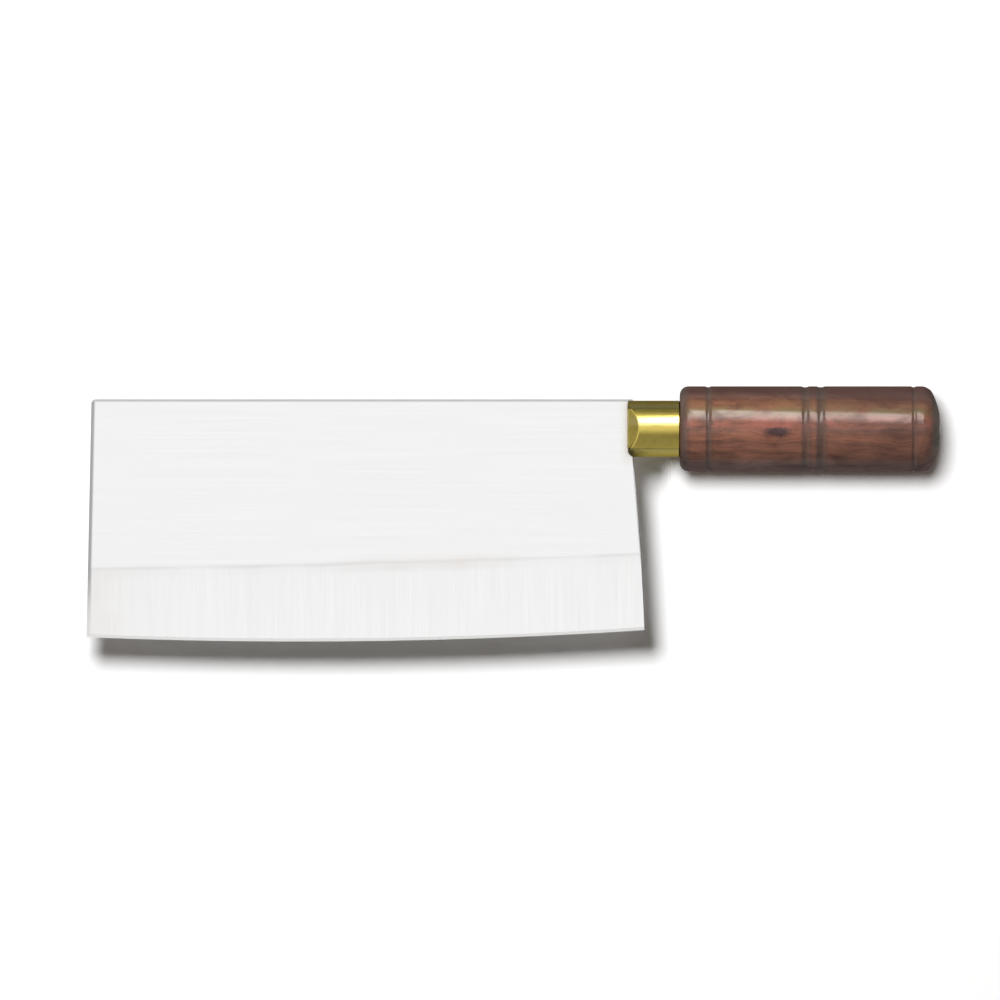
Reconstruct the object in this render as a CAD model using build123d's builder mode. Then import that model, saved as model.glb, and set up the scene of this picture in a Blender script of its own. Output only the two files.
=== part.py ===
"""A Chinese cleaver: ground blade, forked tang rod, brass bolster, turned wooden handle, tang cement and butt washer.

The cleaver lies flat, in millimetres. +X runs along the handle to the butt, +Y points to the spine and +Z leaves the
blade's upper cheek. The origin is the middle of the grip, on the handle's axis, and the blade's mid-plane is Z = 0.
"""

from build123d import *
from math import sqrt
import os

os.makedirs("parts", exist_ok=True)

# Handle: a turned cylinder with a rounded front, a crowned butt and burnt ring grooves
handle_length = 95.0
handle_diameter = 31.0
handle_front_round = 3.1
butt_round = 4.8
butt_crown_radius = 31.0
groove_depth = 0.35
groove_floor_share = 0.3
groove_widths = (2.0, 2.9, 3.1, 1.8)
groove_distances = (10.3, 45.6, 51.3, 85.1)

# Bolster: a brass collar with a bevelled nose and a spigot let into the handle
bolster_length = 18.9
bolster_diameter = 20.6
nose_bevel_length = 3.8
nose_bevel_height = 3.8
nose_corner_round = 2.5
rear_rim_break = 0.4
spigot_diameter = 14.0
spigot_length = 5.0

# Blade: heights and depths are measured from the handle's axis
blade_thickness = 2.0
edge_length = 203.2
spine_height = 10.8
tip_depth = 75.9
heel_depth = 73.3
tip_lean = 1.8
heel_setback = 1.8
heel_overhang = 6.0
belly_radius = 1900.0
heel_radius = 1200.0
tip_corner_round = 1.5
outline_ease = 0.8
heel_ease = 0.35

# Grind: from the cheek down to the shoulder of the fine edge bevel
grind_line_tip_depth = 51.1
grind_line_middle_depth = 49.1
grind_line_heel_depth = 45.7
grind_hollow = 0.05
shoulder_thickness = 0.6
edge_bevel_height = 1.1
edge_thickness = 0.12
station_shares = (-0.03, 0.25, 0.5, 0.75, 1.03)
cutter_lift_share = 0.1
cutter_runout_share = 0.1

# Tongue of the blade, thinned where it stands in the bolster
tongue_height = 12.0
tongue_length = 10.0
tongue_relief = 0.15

# Tang rod: forked head, stepped shank and a peened end
rod_head_diameter = 8.0
rod_head_reach = 24.0
rod_taper_length = 12.0
rod_shank_diameter = 6.0
rod_neck_diameter = 4.8
rod_front_break = 0.5
peen_diameter = 8.2
peen_height = 1.9
peen_rim_height = 0.5

# Bore of the handle, and the washer let into its butt
bore_front_diameter = 9.6
bore_rear_diameter = 7.4
washer_diameter = 11.0
washer_thickness = 1.2
washer_rim_break = 0.25

# Clearances, and the overrun of every cut
slot_clearance = 0.05
tongue_clearance = 0.2
rod_clearance = 0.15
spigot_clearance = 0.1
spigot_end_gap = 0.3
washer_clearance = 0.15
neck_clearance = 0.1
cut_overrun = 5.0

# Radii and thicknesses worked out from the sizes
handle_radius = handle_diameter / 2
bolster_radius = bolster_diameter / 2
rod_head_radius = rod_head_diameter / 2
rod_shank_radius = rod_shank_diameter / 2
rod_neck_radius = rod_neck_diameter / 2
peen_radius = peen_diameter / 2
bore_front_radius = bore_front_diameter / 2
bore_rear_radius = bore_rear_diameter / 2
counterbore_radius = spigot_diameter / 2 + spigot_clearance
recess_radius = washer_diameter / 2 + washer_clearance
half_blade = blade_thickness / 2
half_slot = half_blade - tongue_relief + slot_clearance

# Places along the handle's axis worked out from the sizes
front_x = -handle_length / 2
butt_x = handle_length / 2
nose_x = front_x - bolster_length
heel_top_x = nose_x + heel_setback
heel_corner_x = nose_x + heel_overhang
tip_corner_x = heel_corner_x - edge_length
tip_top_x = tip_corner_x + tip_lean
slot_end_x = heel_top_x + slot_clearance
rod_front_x = heel_top_x + tongue_clearance
tongue_end_x = heel_top_x + tongue_length
tongue_slot_end_x = tongue_end_x + tongue_clearance
spigot_end_x = front_x + spigot_length
counterbore_end_x = spigot_end_x + spigot_end_gap
taper_start_x = front_x + rod_head_reach
taper_end_x = taper_start_x + rod_taper_length
washer_outer_x = butt_x - peen_height
washer_seat_x = washer_outer_x - washer_thickness


def across(x):
    """Plane square to the handle's axis at x: its own x is +Y, its own y is +Z and it looks along +X."""
    return Plane(origin=(x, 0, 0), x_dir=(0, 1, 0), z_dir=(1, 0, 0))


def edge_depth(x):
    """Depth of the cutting edge at x, on the arc from the tip corner to the heel corner."""
    chord_middle = Vector(tip_corner_x + heel_corner_x, -tip_depth - heel_depth) / 2
    chord = Vector(edge_length, tip_depth - heel_depth)
    rise = sqrt(belly_radius**2 - (chord.length / 2) ** 2)
    centre = chord_middle + chord.rotate(Axis.Z, 90).normalized() * rise
    return sqrt(belly_radius**2 - (x - centre.X) ** 2) - centre.Y


def grind_line_depth(x):
    """Depth of the grind line at x, on the parabola through its depths at the tip, the middle and the heel."""
    share = (x - tip_corner_x) / edge_length
    tip_term = grind_line_tip_depth * (1 - share) * (1 - 2 * share)
    middle_term = grind_line_middle_depth * 4 * share * (1 - share)
    heel_term = grind_line_heel_depth * share * (2 * share - 1)
    return tip_term + middle_term + heel_term


def ground_away(x):
    """What the grindstone takes off the upper cheek, drawn in the plane across the blade at x."""
    line = Vector(-grind_line_depth(x), half_blade)
    edge = Vector(-edge_depth(x), edge_thickness / 2)
    shoulder = Vector(edge.X + edge_bevel_height, shoulder_thickness / 2)
    above = line + (line - shoulder) * cutter_lift_share
    beyond = edge + (edge - shoulder) * cutter_runout_share
    with BuildSketch(across(x)) as section:
        with BuildLine():
            SagittaArc(above, shoulder, grind_hollow)
            Polyline(shoulder, beyond, (beyond.X, above.Y), above)
        make_face()
    return section.sketch


# Blade: the upper half of the blank is eased, thinned at the tongue and ground, then mirrored
with BuildPart() as blade:
    with BuildSketch():
        with BuildLine():
            spine = Line((heel_top_x, spine_height), (tip_top_x, spine_height))
            tip = Line(spine @ 1, (tip_corner_x, -tip_depth))
            belly = RadiusArc(tip @ 1, (heel_corner_x, -heel_depth), -belly_radius)
            heel = RadiusArc(belly @ 1, (heel_top_x, -bolster_radius), -heel_radius)
            Polyline(
                heel @ 1,
                (heel_top_x, -tongue_height / 2),
                (tongue_end_x, -tongue_height / 2),
                (tongue_end_x, tongue_height / 2),
                (heel_top_x, tongue_height / 2),
                spine @ 0,
            )
        make_face()
        fillet(vertices().group_by(Axis.Y)[-1].sort_by(Axis.X)[0], radius=tip_corner_round)
    extrude(amount=half_blade)

    # The cheek's long edges are eased along the spine, round the tip and down the heel
    cheek_edges = edges().group_by(Axis.Z)[-1]
    cheek_lines = cheek_edges.filter_by(GeomType.LINE)
    cheek_arcs = cheek_edges.filter_by(GeomType.CIRCLE)
    spine_and_tip = [cheek_lines.sort_by(Axis.Y)[-1], cheek_lines.sort_by(Axis.X)[0]]
    fillet(spine_and_tip + [cheek_arcs.sort_by(SortBy.RADIUS)[0]], radius=outline_ease)
    fillet(cheek_arcs.sort_by(Axis.X)[-1], radius=heel_ease)

    # What stands in the bolster is thinned, so that the cheek ends at the bolster's nose
    with BuildSketch(Plane.XY.offset(half_blade)):
        with Locations((nose_x, -bolster_radius - slot_clearance)):
            relief_length = tongue_end_x - nose_x + cut_overrun
            relief_height = bolster_radius + spine_height + cut_overrun
            Rectangle(relief_length, relief_height, align=(Align.MIN, Align.MIN))
    extrude(amount=-tongue_relief, mode=Mode.SUBTRACT)

    # The long grind and the fine bevel at the edge
    for share in station_shares:
        add(ground_away(tip_corner_x + share * edge_length))
    loft(mode=Mode.SUBTRACT)
    mirror(about=Plane.XY)
blade.part.label = "blade"
export_step(blade.part, "parts/blade.step")

# Bolster: a round bar cut to its plan and to its side view, then slotted and bored
with BuildPart() as bolster:
    with BuildSketch(across(nose_x)):
        Circle(bolster_radius)
    extrude(amount=bolster_length)
    chamfer(edges().group_by(Axis.X)[-1], length=rear_rim_break)
    with BuildSketch():
        with Locations((nose_x, 0)):
            Rectangle(bolster_length, bolster_diameter, align=(Align.MIN, Align.CENTER))
        fillet(vertices().group_by(Axis.Y)[0].sort_by(Axis.X)[0], radius=nose_corner_round)
    extrude(amount=bolster_radius, both=True, mode=Mode.INTERSECT)
    with BuildSketch(Plane.XZ):
        with Locations((nose_x, 0)):
            Rectangle(bolster_length, bolster_diameter, align=(Align.MIN, Align.CENTER))
        chamfer(vertices().group_by(Axis.X)[0], length=nose_bevel_length, length2=nose_bevel_height)
    extrude(amount=bolster_radius, both=True, mode=Mode.INTERSECT)

    # The spigot that seats in the handle
    with BuildSketch(across(front_x)):
        Circle(spigot_diameter / 2)
    extrude(amount=spigot_length)

    # The slot for the heel, open above and below, the narrower slot for the tongue and the rod's bore
    with BuildSketch(Plane.XZ):
        with Locations((slot_end_x, 0)):
            Rectangle(heel_setback + cut_overrun, 2 * half_slot, align=(Align.MAX, Align.CENTER))
    extrude(amount=bolster_radius + cut_overrun, both=True, mode=Mode.SUBTRACT)
    with BuildSketch(Plane.XZ):
        with Locations((tongue_slot_end_x, 0)):
            Rectangle(tongue_slot_end_x - nose_x, 2 * half_slot, align=(Align.MAX, Align.CENTER))
    extrude(amount=tongue_height / 2 + tongue_clearance, both=True, mode=Mode.SUBTRACT)
    with BuildSketch(across(slot_end_x)):
        Circle(rod_head_radius + rod_clearance)
    extrude(amount=spigot_end_x - slot_end_x, mode=Mode.SUBTRACT)
bolster.part.label = "bolster"
export_step(bolster.part, "parts/bolster.step")

# Tang rod: turned from bar, forked to straddle the tongue, its neck peened over the washer
with BuildPart() as tang_rod:
    with BuildSketch():
        with BuildLine():
            shank = Polyline(
                (rod_front_x, 0),
                (rod_front_x, rod_head_radius),
                (taper_start_x, rod_head_radius),
                (taper_end_x, rod_shank_radius),
                (washer_seat_x, rod_shank_radius),
                (washer_seat_x, rod_neck_radius),
                (washer_outer_x, rod_neck_radius),
                (washer_outer_x, peen_radius),
                (washer_outer_x + peen_rim_height, peen_radius),
            )
            crown_height = peen_height - peen_rim_height
            crown_radius = (peen_radius**2 + crown_height**2) / (2 * crown_height)
            crown = RadiusArc(shank @ 1, (butt_x, 0), crown_radius)
            Line(crown @ 1, shank @ 0)
        make_face()
        chamfer(vertices().group_by(Axis.X)[0].sort_by(Axis.Y)[-1], length=rod_front_break)
    revolve(axis=Axis.X)
    with BuildSketch(Plane.XZ):
        with Locations((tongue_slot_end_x, 0)):
            Rectangle(tongue_length + cut_overrun, 2 * half_slot, align=(Align.MAX, Align.CENTER))
    extrude(amount=rod_head_diameter, both=True, mode=Mode.SUBTRACT)
tang_rod.part.label = "tang_rod"
export_step(tang_rod.part, "parts/tang_rod.step")

# Handle: turned, grooved and bored from both ends
with BuildPart() as handle:
    with BuildSketch():
        with BuildLine():
            crown_drop = butt_crown_radius - sqrt(butt_crown_radius**2 - handle_radius**2)
            barrel = Polyline(
                (front_x, 0),
                (front_x, handle_radius),
                (butt_x - crown_drop, handle_radius),
            )
            crown = RadiusArc(barrel @ 1, (butt_x, 0), butt_crown_radius)
            Line(crown @ 1, barrel @ 0)
        make_face()
        rims = vertices().group_by(Axis.Y)[-1].sort_by(Axis.X)
        fillet(rims[0], radius=handle_front_round)
        fillet(vertices().group_by(Axis.Y)[-1].sort_by(Axis.X)[-1], radius=butt_round)
    revolve(axis=Axis.X)

    # Each groove has sloping walls and a narrow floor, and its cutter stands as far out of the barrel as it is deep
    with BuildSketch():
        for width, distance in zip(groove_widths, groove_distances):
            half_floor = width * groove_floor_share / 2
            half_mouth = width - half_floor
            groove_x = front_x + distance
            with BuildLine():
                Polyline(
                    (groove_x - half_mouth, handle_radius + groove_depth),
                    (groove_x - half_floor, handle_radius - groove_depth),
                    (groove_x + half_floor, handle_radius - groove_depth),
                    (groove_x + half_mouth, handle_radius + groove_depth),
                    close=True,
                )
            make_face()
    revolve(axis=Axis.X, mode=Mode.SUBTRACT)

    # The counterbore for the spigot, the stepped bore for the rod and the recess for the washer
    with BuildSketch(across(front_x)):
        Circle(counterbore_radius)
    extrude(amount=counterbore_end_x - front_x, mode=Mode.SUBTRACT)
    with BuildSketch(across(front_x)):
        Circle(bore_front_radius)
    extrude(amount=taper_end_x - front_x, mode=Mode.SUBTRACT)
    with BuildSketch(across(front_x)):
        Circle(bore_rear_radius)
    extrude(amount=handle_length, mode=Mode.SUBTRACT)
    with BuildSketch(across(washer_seat_x)):
        Circle(recess_radius)
    extrude(amount=butt_x - washer_seat_x + cut_overrun, mode=Mode.SUBTRACT)
handle.part.label = "handle"
export_step(handle.part, "parts/handle.step")

# Tang cement: what is left of the bore round the rod, from the spigot to the washer
with BuildPart() as tang_cement:
    with BuildSketch():
        with BuildLine():
            Polyline(
                (spigot_end_x, rod_head_radius),
                (spigot_end_x, counterbore_radius),
                (counterbore_end_x, counterbore_radius),
                (counterbore_end_x, bore_front_radius),
                (taper_end_x, bore_front_radius),
                (taper_end_x, bore_rear_radius),
                (washer_seat_x, bore_rear_radius),
                (washer_seat_x, rod_shank_radius),
                (taper_end_x, rod_shank_radius),
                (taper_start_x, rod_head_radius),
                close=True,
            )
        make_face()
    revolve(axis=Axis.X)
tang_cement.part.label = "tang_cement"
export_step(tang_cement.part, "parts/tang_cement.step")

# Washer: let into the butt, held by the peened end of the rod
with BuildPart() as tang_washer:
    with BuildSketch(across(washer_seat_x)):
        Circle(washer_diameter / 2)
        Circle(rod_neck_radius + neck_clearance, mode=Mode.SUBTRACT)
    extrude(amount=washer_thickness)
    outer_rim = edges().group_by(Axis.X)[-1].sort_by(SortBy.RADIUS)[-1]
    chamfer(outer_rim, length=washer_rim_break)
tang_washer.part.label = "tang_washer"
export_step(tang_washer.part, "parts/tang_washer.step")
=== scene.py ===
"""Looks of a Chinese cleaver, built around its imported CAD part.

Everything is in metres and in the frame of the CAD part. The cleaver lies flat: +X runs along the handle to the butt,
+Y points to the spine and +Z leaves the blade's upper cheek.
"""

from __future__ import annotations

import logging
import math
from dataclasses import dataclass
from enum import Enum
from functools import reduce
from typing import Sequence

import bmesh
import bpy
from mathutils import Matrix, Vector

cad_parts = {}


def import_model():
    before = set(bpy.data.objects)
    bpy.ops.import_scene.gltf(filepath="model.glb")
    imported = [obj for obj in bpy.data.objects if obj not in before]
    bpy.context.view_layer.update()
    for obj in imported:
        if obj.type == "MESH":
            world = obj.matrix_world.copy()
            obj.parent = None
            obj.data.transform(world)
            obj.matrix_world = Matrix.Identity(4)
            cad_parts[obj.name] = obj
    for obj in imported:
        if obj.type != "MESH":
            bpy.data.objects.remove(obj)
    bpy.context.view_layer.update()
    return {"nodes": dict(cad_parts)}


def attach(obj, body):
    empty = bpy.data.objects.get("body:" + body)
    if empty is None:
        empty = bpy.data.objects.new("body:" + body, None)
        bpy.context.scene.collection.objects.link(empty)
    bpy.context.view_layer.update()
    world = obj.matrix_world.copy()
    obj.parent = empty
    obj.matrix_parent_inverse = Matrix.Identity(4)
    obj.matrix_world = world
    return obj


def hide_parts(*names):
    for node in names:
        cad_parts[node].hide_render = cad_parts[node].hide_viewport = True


log = logging.getLogger("cleaver")

Object = bpy.types.Object
Nodes = dict[str, Object]
Material = bpy.types.Material
Socket = bpy.types.NodeSocket
Shape = bmesh.types.BMesh
Edge = bmesh.types.BMEdge
Vertex = bmesh.types.BMVert
Face = bmesh.types.BMFace
Feed = "Value | float | Sequence[float]"
Rgb = tuple[float, float, float]
Pair = tuple[float, float]
Triple = tuple[float, float, float]

MM = 0.001
DEGREE = math.pi / 180
ROOT = "root"
SHARP_ANGLE = 38 * DEGREE
SAME_PLACE = 0.001 * MM
WHITE: Rgb = (1.0, 1.0, 1.0)
SEEN = ("Camera", "Glossy", "Transmission")


class Slot(Enum):
    """The names of the record's material slots."""

    BOLSTER = "bolster_brass"
    HANDLE = "handle_wood"
    TANG = "tang_steel"


class Node(Enum):
    """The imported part's nodes."""

    BLADE = "blade"
    BOLSTER = "bolster"
    HANDLE = "handle"
    TANG_ROD = "tang_rod"
    CEMENT = "tang_cement"
    WASHER = "tang_washer"


class Value:
    """A number or vector that a shader node gives, so that sums of it read as sums."""

    def __init__(self, graph: Graph, socket: Socket) -> None:
        """Keeps the graph and the node's output."""
        self.graph = graph
        self.socket = socket

    def __add__(self, other: Feed) -> Value:
        """Returns the sum."""
        return self.graph.math("ADD", self, other)

    def __sub__(self, other: Feed) -> Value:
        """Returns the difference."""
        return self.graph.math("SUBTRACT", self, other)

    def __mul__(self, other: Feed) -> Value:
        """Returns the product."""
        return self.graph.math("MULTIPLY", self, other)

    def __truediv__(self, other: Feed) -> Value:
        """Returns the quotient."""
        return self.graph.math("DIVIDE", self, other)

    def __abs__(self) -> Value:
        """Returns the value without its sign."""
        return self.graph.math("ABSOLUTE", self)

    def most(self, other: Feed) -> Value:
        """Returns the larger of two values."""
        return self.graph.math("MAXIMUM", self, other)


class Graph:
    """The node tree of one material, world or lamp, joined up by method calls."""

    def __init__(self, tree: bpy.types.NodeTree) -> None:
        """Keeps the tree and empties it."""
        self.tree = tree
        tree.nodes.clear()

    def feed(self, socket: Socket, value: Feed) -> None:
        """Links a socket to a value, or sets it.

        Args:
            socket: The input to fill.
            value: A node's value, a number or a row of numbers.
        """
        if isinstance(value, Value):
            self.tree.links.new(value.socket, socket)
        elif isinstance(value, (int, float)) or len(value) == len(socket.default_value):
            socket.default_value = value
        else:
            socket.default_value = (*value, 1.0)

    def fill(self, node: bpy.types.Node, **inputs: Feed) -> bpy.types.Node:
        """Fills some of a node's inputs.

        Args:
            node: The node.
            **inputs: The values, by input name with _ for a space.

        Returns:
            The node.
        """
        for name, value in inputs.items():
            self.feed(node.inputs[name.replace("_", " ")], value)
        return node

    def node(self, kind: str, **settings: object) -> bpy.types.Node:
        """Adds a node.

        Args:
            kind: The node's type name.
            **settings: Its properties, by name.

        Returns:
            The new node.
        """
        made = self.tree.nodes.new(kind)
        for name, value in settings.items():
            setattr(made, name, value)
        return made

    def filled(self, node: bpy.types.Node, *values: Feed) -> Value:
        """Fills a node's first inputs in order.

        Args:
            node: The node.
            *values: The values.

        Returns:
            Its first output.
        """
        for socket, value in zip(node.inputs, values):
            self.feed(socket, value)
        return Value(self, node.outputs[0])

    def made(self, kind: str, **inputs: Feed) -> Value:
        """Returns the first output of a new node, whose inputs are given by name with _ for a space."""
        return Value(self, self.fill(self.node(kind), **inputs).outputs[0])

    def show(self, shader: Value, kind: str = "ShaderNodeOutputMaterial") -> None:
        """Makes a shader the one that is seen, by an output node of some kind."""
        self.feed(self.node(kind).inputs["Surface"], shader)

    def math(self, operation: str, *values: Feed) -> Value:
        """Returns the result of a Math node's operation on some values."""
        return self.filled(self.node("ShaderNodeMath", operation=operation), *values)

    def position(self, kind: str = "Object") -> Value:
        """Returns the place on the object in metres, or other coordinates of that kind."""
        return Value(self, self.node("ShaderNodeTexCoord").outputs[kind])

    def ray(self, *kinds: str) -> Value:
        """Returns 1 for some kinds of ray, such as Camera, and 0 for the others."""
        path = self.node("ShaderNodeLightPath")
        return reduce(Value.most, [Value(self, path.outputs[f"Is {kind} Ray"]) for kind in kinds])

    def split(self, vector: Value) -> list[Value]:
        """Returns a vector's three coordinates."""
        return [Value(self, socket) for socket in self.fill(self.node("ShaderNodeSeparateXYZ"), Vector=vector).outputs]

    def joined(self, x: Feed, y: Feed, z: Feed) -> Value:
        """Returns the vector of three coordinates."""
        return self.filled(self.node("ShaderNodeCombineXYZ"), x, y, z)

    def mapped(self, vector: Value, scale: Triple, place: Triple = (0, 0, 0)) -> Value:
        """Returns a vector that is scaled along each axis and then moved."""
        return self.made("ShaderNodeMapping", Vector=vector, Scale=scale, Location=place)

    def noise(self, vector: Value, scale: float = 1.0, detail: float = 2.0, distortion: float = 0.0) -> Value:
        """Returns a cloudy pattern around 0.5, with finer layers for more detail."""
        return self.made("ShaderNodeTexNoise", Vector=vector, Scale=scale, Detail=detail, Distortion=distortion)

    def rise(self, value: Feed, low: float, high: float, start: float = 0.0, end: float = 1.0) -> Value:
        """Returns what rises smoothly from start to end while a value goes from low to high."""
        made = self.node("ShaderNodeMapRange", interpolation_type="SMOOTHSTEP")
        return self.filled(made, value, low, high, start, end)

    def peak(self, value: Value, centre: float, inner: float, outer: float) -> Value:
        """Returns 1 within inner of the centre, and what falls smoothly to 0 at outer."""
        return self.rise(abs(value - centre), inner, outer, 1.0, 0.0)

    def mix(self, share: Feed, first: Feed, second: Feed, how: str = "MIX") -> Value:
        """Mixes two colours.

        Args:
            share: The share of the second.
            first: The colour at a share of 0.
            second: The colour at a share of 1.
            how: The Mix node's blend type.

        Returns:
            The colour.
        """
        made = self.node("ShaderNodeMix", data_type="RGBA", blend_type=how, clamp_factor=True)
        for place, value in ((0, share), (6, first), (7, second)):
            self.feed(made.inputs[place], value)
        return Value(self, made.outputs[2])

    def tinted(self, colour: Feed, *tints: tuple[Value, Feed]) -> Value:
        """Lays tints over a colour, one after the other.

        Args:
            colour: The colour below.
            *tints: The share and the colour of each tint.

        Returns:
            The colour.
        """
        for share, tint in tints:
            colour = self.mix(share, colour, tint)
        return colour

    def ramp(self, share: Value, stops: Sequence[tuple[float, Rgb]]) -> Value:
        """Reads a row of colours.

        Args:
            share: Where the row is read, from 0 to 1.
            stops: The place and colour of each stop.

        Returns:
            The colour.
        """
        made = self.node("ShaderNodeValToRGB")
        elements = made.color_ramp.elements
        while len(elements) < len(stops):
            elements.new(1.0)
        for element, (place, colour) in zip(elements, stops):
            element.position = place
            element.color = (*colour, 1.0)
        self.feed(made.inputs[0], share)
        return Value(self, made.outputs[0])

    def parabola(self, share: Value, start: float, middle: float, end: float) -> Value:
        """Returns the height, at a share of the way, of the parabola through three heights."""
        curve = 2 * start + 2 * end - 4 * middle
        return (share * curve + (end - start - curve)) * share + start

    def bump(self, height: Value, depth: float, **over: Value) -> Value:
        """Returns the normal of a height that reaches a depth in metres, over a coarser Normal if one is given."""
        return self.made("ShaderNodeBump", Height=height, Distance=depth, **over)

    def surface(self, **inputs: Feed) -> None:
        """Adds the surface shader, with its inputs by name with _ for a space, and the output."""
        self.show(self.made("ShaderNodeBsdfPrincipled", **inputs))


def new_material(name: str) -> tuple[Material, Graph]:
    """Starts a material.

    Args:
        name: Its name.

    Returns:
        The material and its empty graph.
    """
    material = bpy.data.materials.new(name)
    material.use_nodes = True
    return material, Graph(material.node_tree)


@dataclass(frozen=True)
class GroundSteel:
    """Stainless sheet, brushed along its cheeks, ground across the band over the edge and honed at the edge, with
    painted shade along the grind line, the tip and the spine, and a painted shadow of the bolster by its nose.
    """

    colour: Rgb = (0.905,) * 3
    brushed_colour: Rgb = (0.88,) * 3
    ground_colour: Rgb = (0.912,) * 3
    band_colour: Rgb = (0.958, 0.958, 0.957)
    grind_line_shade_colour: Rgb = (0.72, 0.715, 0.71)
    stain_colour: Rgb = (0.84, 0.79, 0.76)
    heel_colour: Rgb = (0.85, 0.82, 0.75)
    fleck_colour: Rgb = (0.95,) * 3
    heat_tint_and_shadow_colour: Rgb = (0.80, 0.72, 0.60)
    tip_edge_shade_colour: Rgb = (0.50, 0.50, 0.505)
    spine_edge_shade_colour: Rgb = (0.735, 0.735, 0.737)
    honed_colour: Rgb = (0.97, 0.965, 0.95)
    roughness: float = 0.27
    brushed_roughness: float = 0.33
    sheared_roughness: float = 0.58
    honed_roughness: float = 0.5
    honed_metal: float = 0.3
    brushing: Triple = (16, 2600, 900)
    grinding: Triple = (2600, 22, 900)
    scratch_depth: float = 0.0018 * MM
    tip_x: float = -263.6 * MM
    tip_lean: float = 1.8 * MM
    spine_y: float = 10.8 * MM
    tip_y: float = -75.9 * MM
    nose_x: float = -66.4 * MM
    heat_and_shadow_reach: float = 3.6 * MM
    edge_length: float = 203.2 * MM
    grind_line: Triple = (51.1 * MM, 49.1 * MM, 45.7 * MM)
    edge_line: Triple = (75.9 * MM, 77.3 * MM, 73.3 * MM)
    line_blur: Pair = (-0.3 * MM, 0.6 * MM)
    line_waver: float = 2.4 * MM
    bevel_height: float = 1.1 * MM
    bevel_blur: float = 0.1 * MM

    def material(self) -> Material:
        """Returns the finished material."""
        material, graph = new_material("blade_ground_steel")
        place = graph.position()
        x, y, _ = graph.split(place)
        depth = y * -1.0
        along = (x - self.tip_x) / self.edge_length
        below_line = depth - graph.parabola(along, *self.grind_line)
        above_edge = graph.parabola(along, *self.edge_line) - depth
        ground = graph.rise(below_line, *self.line_blur)
        honed = graph.rise(above_edge - self.bevel_height, -self.bevel_blur, self.bevel_blur, 1.0, 0.0)
        lengthwise = graph.noise(graph.mapped(place, self.brushing), detail=3)
        crosswise = graph.noise(graph.mapped(place, self.grinding), detail=3)
        lines = graph.mix(ground, lengthwise, crosswise)
        colour = graph.mix(lines, self.brushed_colour, self.colour)

        clouds = graph.noise(place, 28, detail=3)
        patches = graph.rise(clouds, 0.36, 0.62, 0.25, 1.0)
        waver = graph.noise(graph.mapped(place, (30, 30, 0)), detail=4)
        wavering = (waver - 0.5) * self.line_waver + below_line
        beside_line = graph.peak(wavering, 0.5 * MM, 0.8 * MM, 4.0 * MM)
        corner = graph.rise(along, 0.0, 0.12, 1.0, 0.0) * ground
        middle = graph.peak(along, 0.62, 0.06, 0.2) * beside_line
        flecks = graph.rise(graph.noise(place, 330), 0.62, 0.74) * graph.peak(along, 0.18, 0.07, 0.15)
        # Heat tint by the nose, which also serves as the painted shadow of the bolster on the blade just below it.
        heat_shadow_share = graph.rise(x, self.nose_x - self.heat_and_shadow_reach, self.nose_x)

        # Painted shade along the eased tip edge, a grey line where that rounded edge turns away.
        tip_share = (y - self.tip_y) / (self.spine_y - self.tip_y)
        from_tip = x - (tip_share * self.tip_lean + self.tip_x)
        painted_tip_shade = graph.rise(from_tip, 0.9 * MM, 1.7 * MM, 0.92, 0.0)
        painted_tip_shade = painted_tip_shade * graph.rise(depth, 50 * MM, 74 * MM, 1.0, 0.35)
        # Painted shade along the eased spine, a grey line where that rounded edge turns away.
        painted_spine_shade = graph.rise(y, self.spine_y - 1.2 * MM, self.spine_y - 0.8 * MM, 0.0, 0.92)

        colour = graph.tinted(
            colour,
            (ground, graph.mix(lines, self.ground_colour, self.band_colour)),
            # Painted shade along the grind line: a soft skirt below it and a thin dark line where the bevel starts.
            (graph.peak(wavering, 0.9 * MM, 0.4 * MM, 3.6 * MM) * patches * 0.16, self.grind_line_shade_colour),
            (graph.peak(wavering, 0.0, 0.2 * MM, 1.0 * MM) * patches * 0.42, self.grind_line_shade_colour),
            (corner.most(middle) * graph.rise(clouds, 0.35, 0.65, 0.15, 0.55), self.stain_colour),
            (graph.rise(along, 0.94, 1.0) * ground * graph.rise(clouds, 0.4, 0.7, 0.05, 0.4), self.heel_colour),
            (flecks * ground * 0.5, self.fleck_colour),
            # Heat tint and painted shadow of the bolster on the blade.
            (heat_shadow_share * graph.rise(depth, 10.5 * MM, 15 * MM, 0.35, 0.0), self.heat_tint_and_shadow_colour),
            # Painted shade along the eased tip edge.
            (painted_tip_shade, self.tip_edge_shade_colour),
            # Painted shade along the eased spine.
            (painted_spine_shade, self.spine_edge_shade_colour),
            (honed, self.honed_colour),
        )
        rough = graph.rise(lines, 0.25, 0.75, self.brushed_roughness, self.roughness)
        rough = rough.most(honed * self.honed_roughness)
        graph.surface(
            Base_Color=colour,
            Metallic=graph.rise(honed, 0.0, 1.0, 1.0, self.honed_metal),
            Roughness=rough.most(painted_tip_shade.most(painted_spine_shade) * self.sheared_roughness),
            Normal=graph.bump(lines, self.scratch_depth),
        )
        return material


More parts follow.
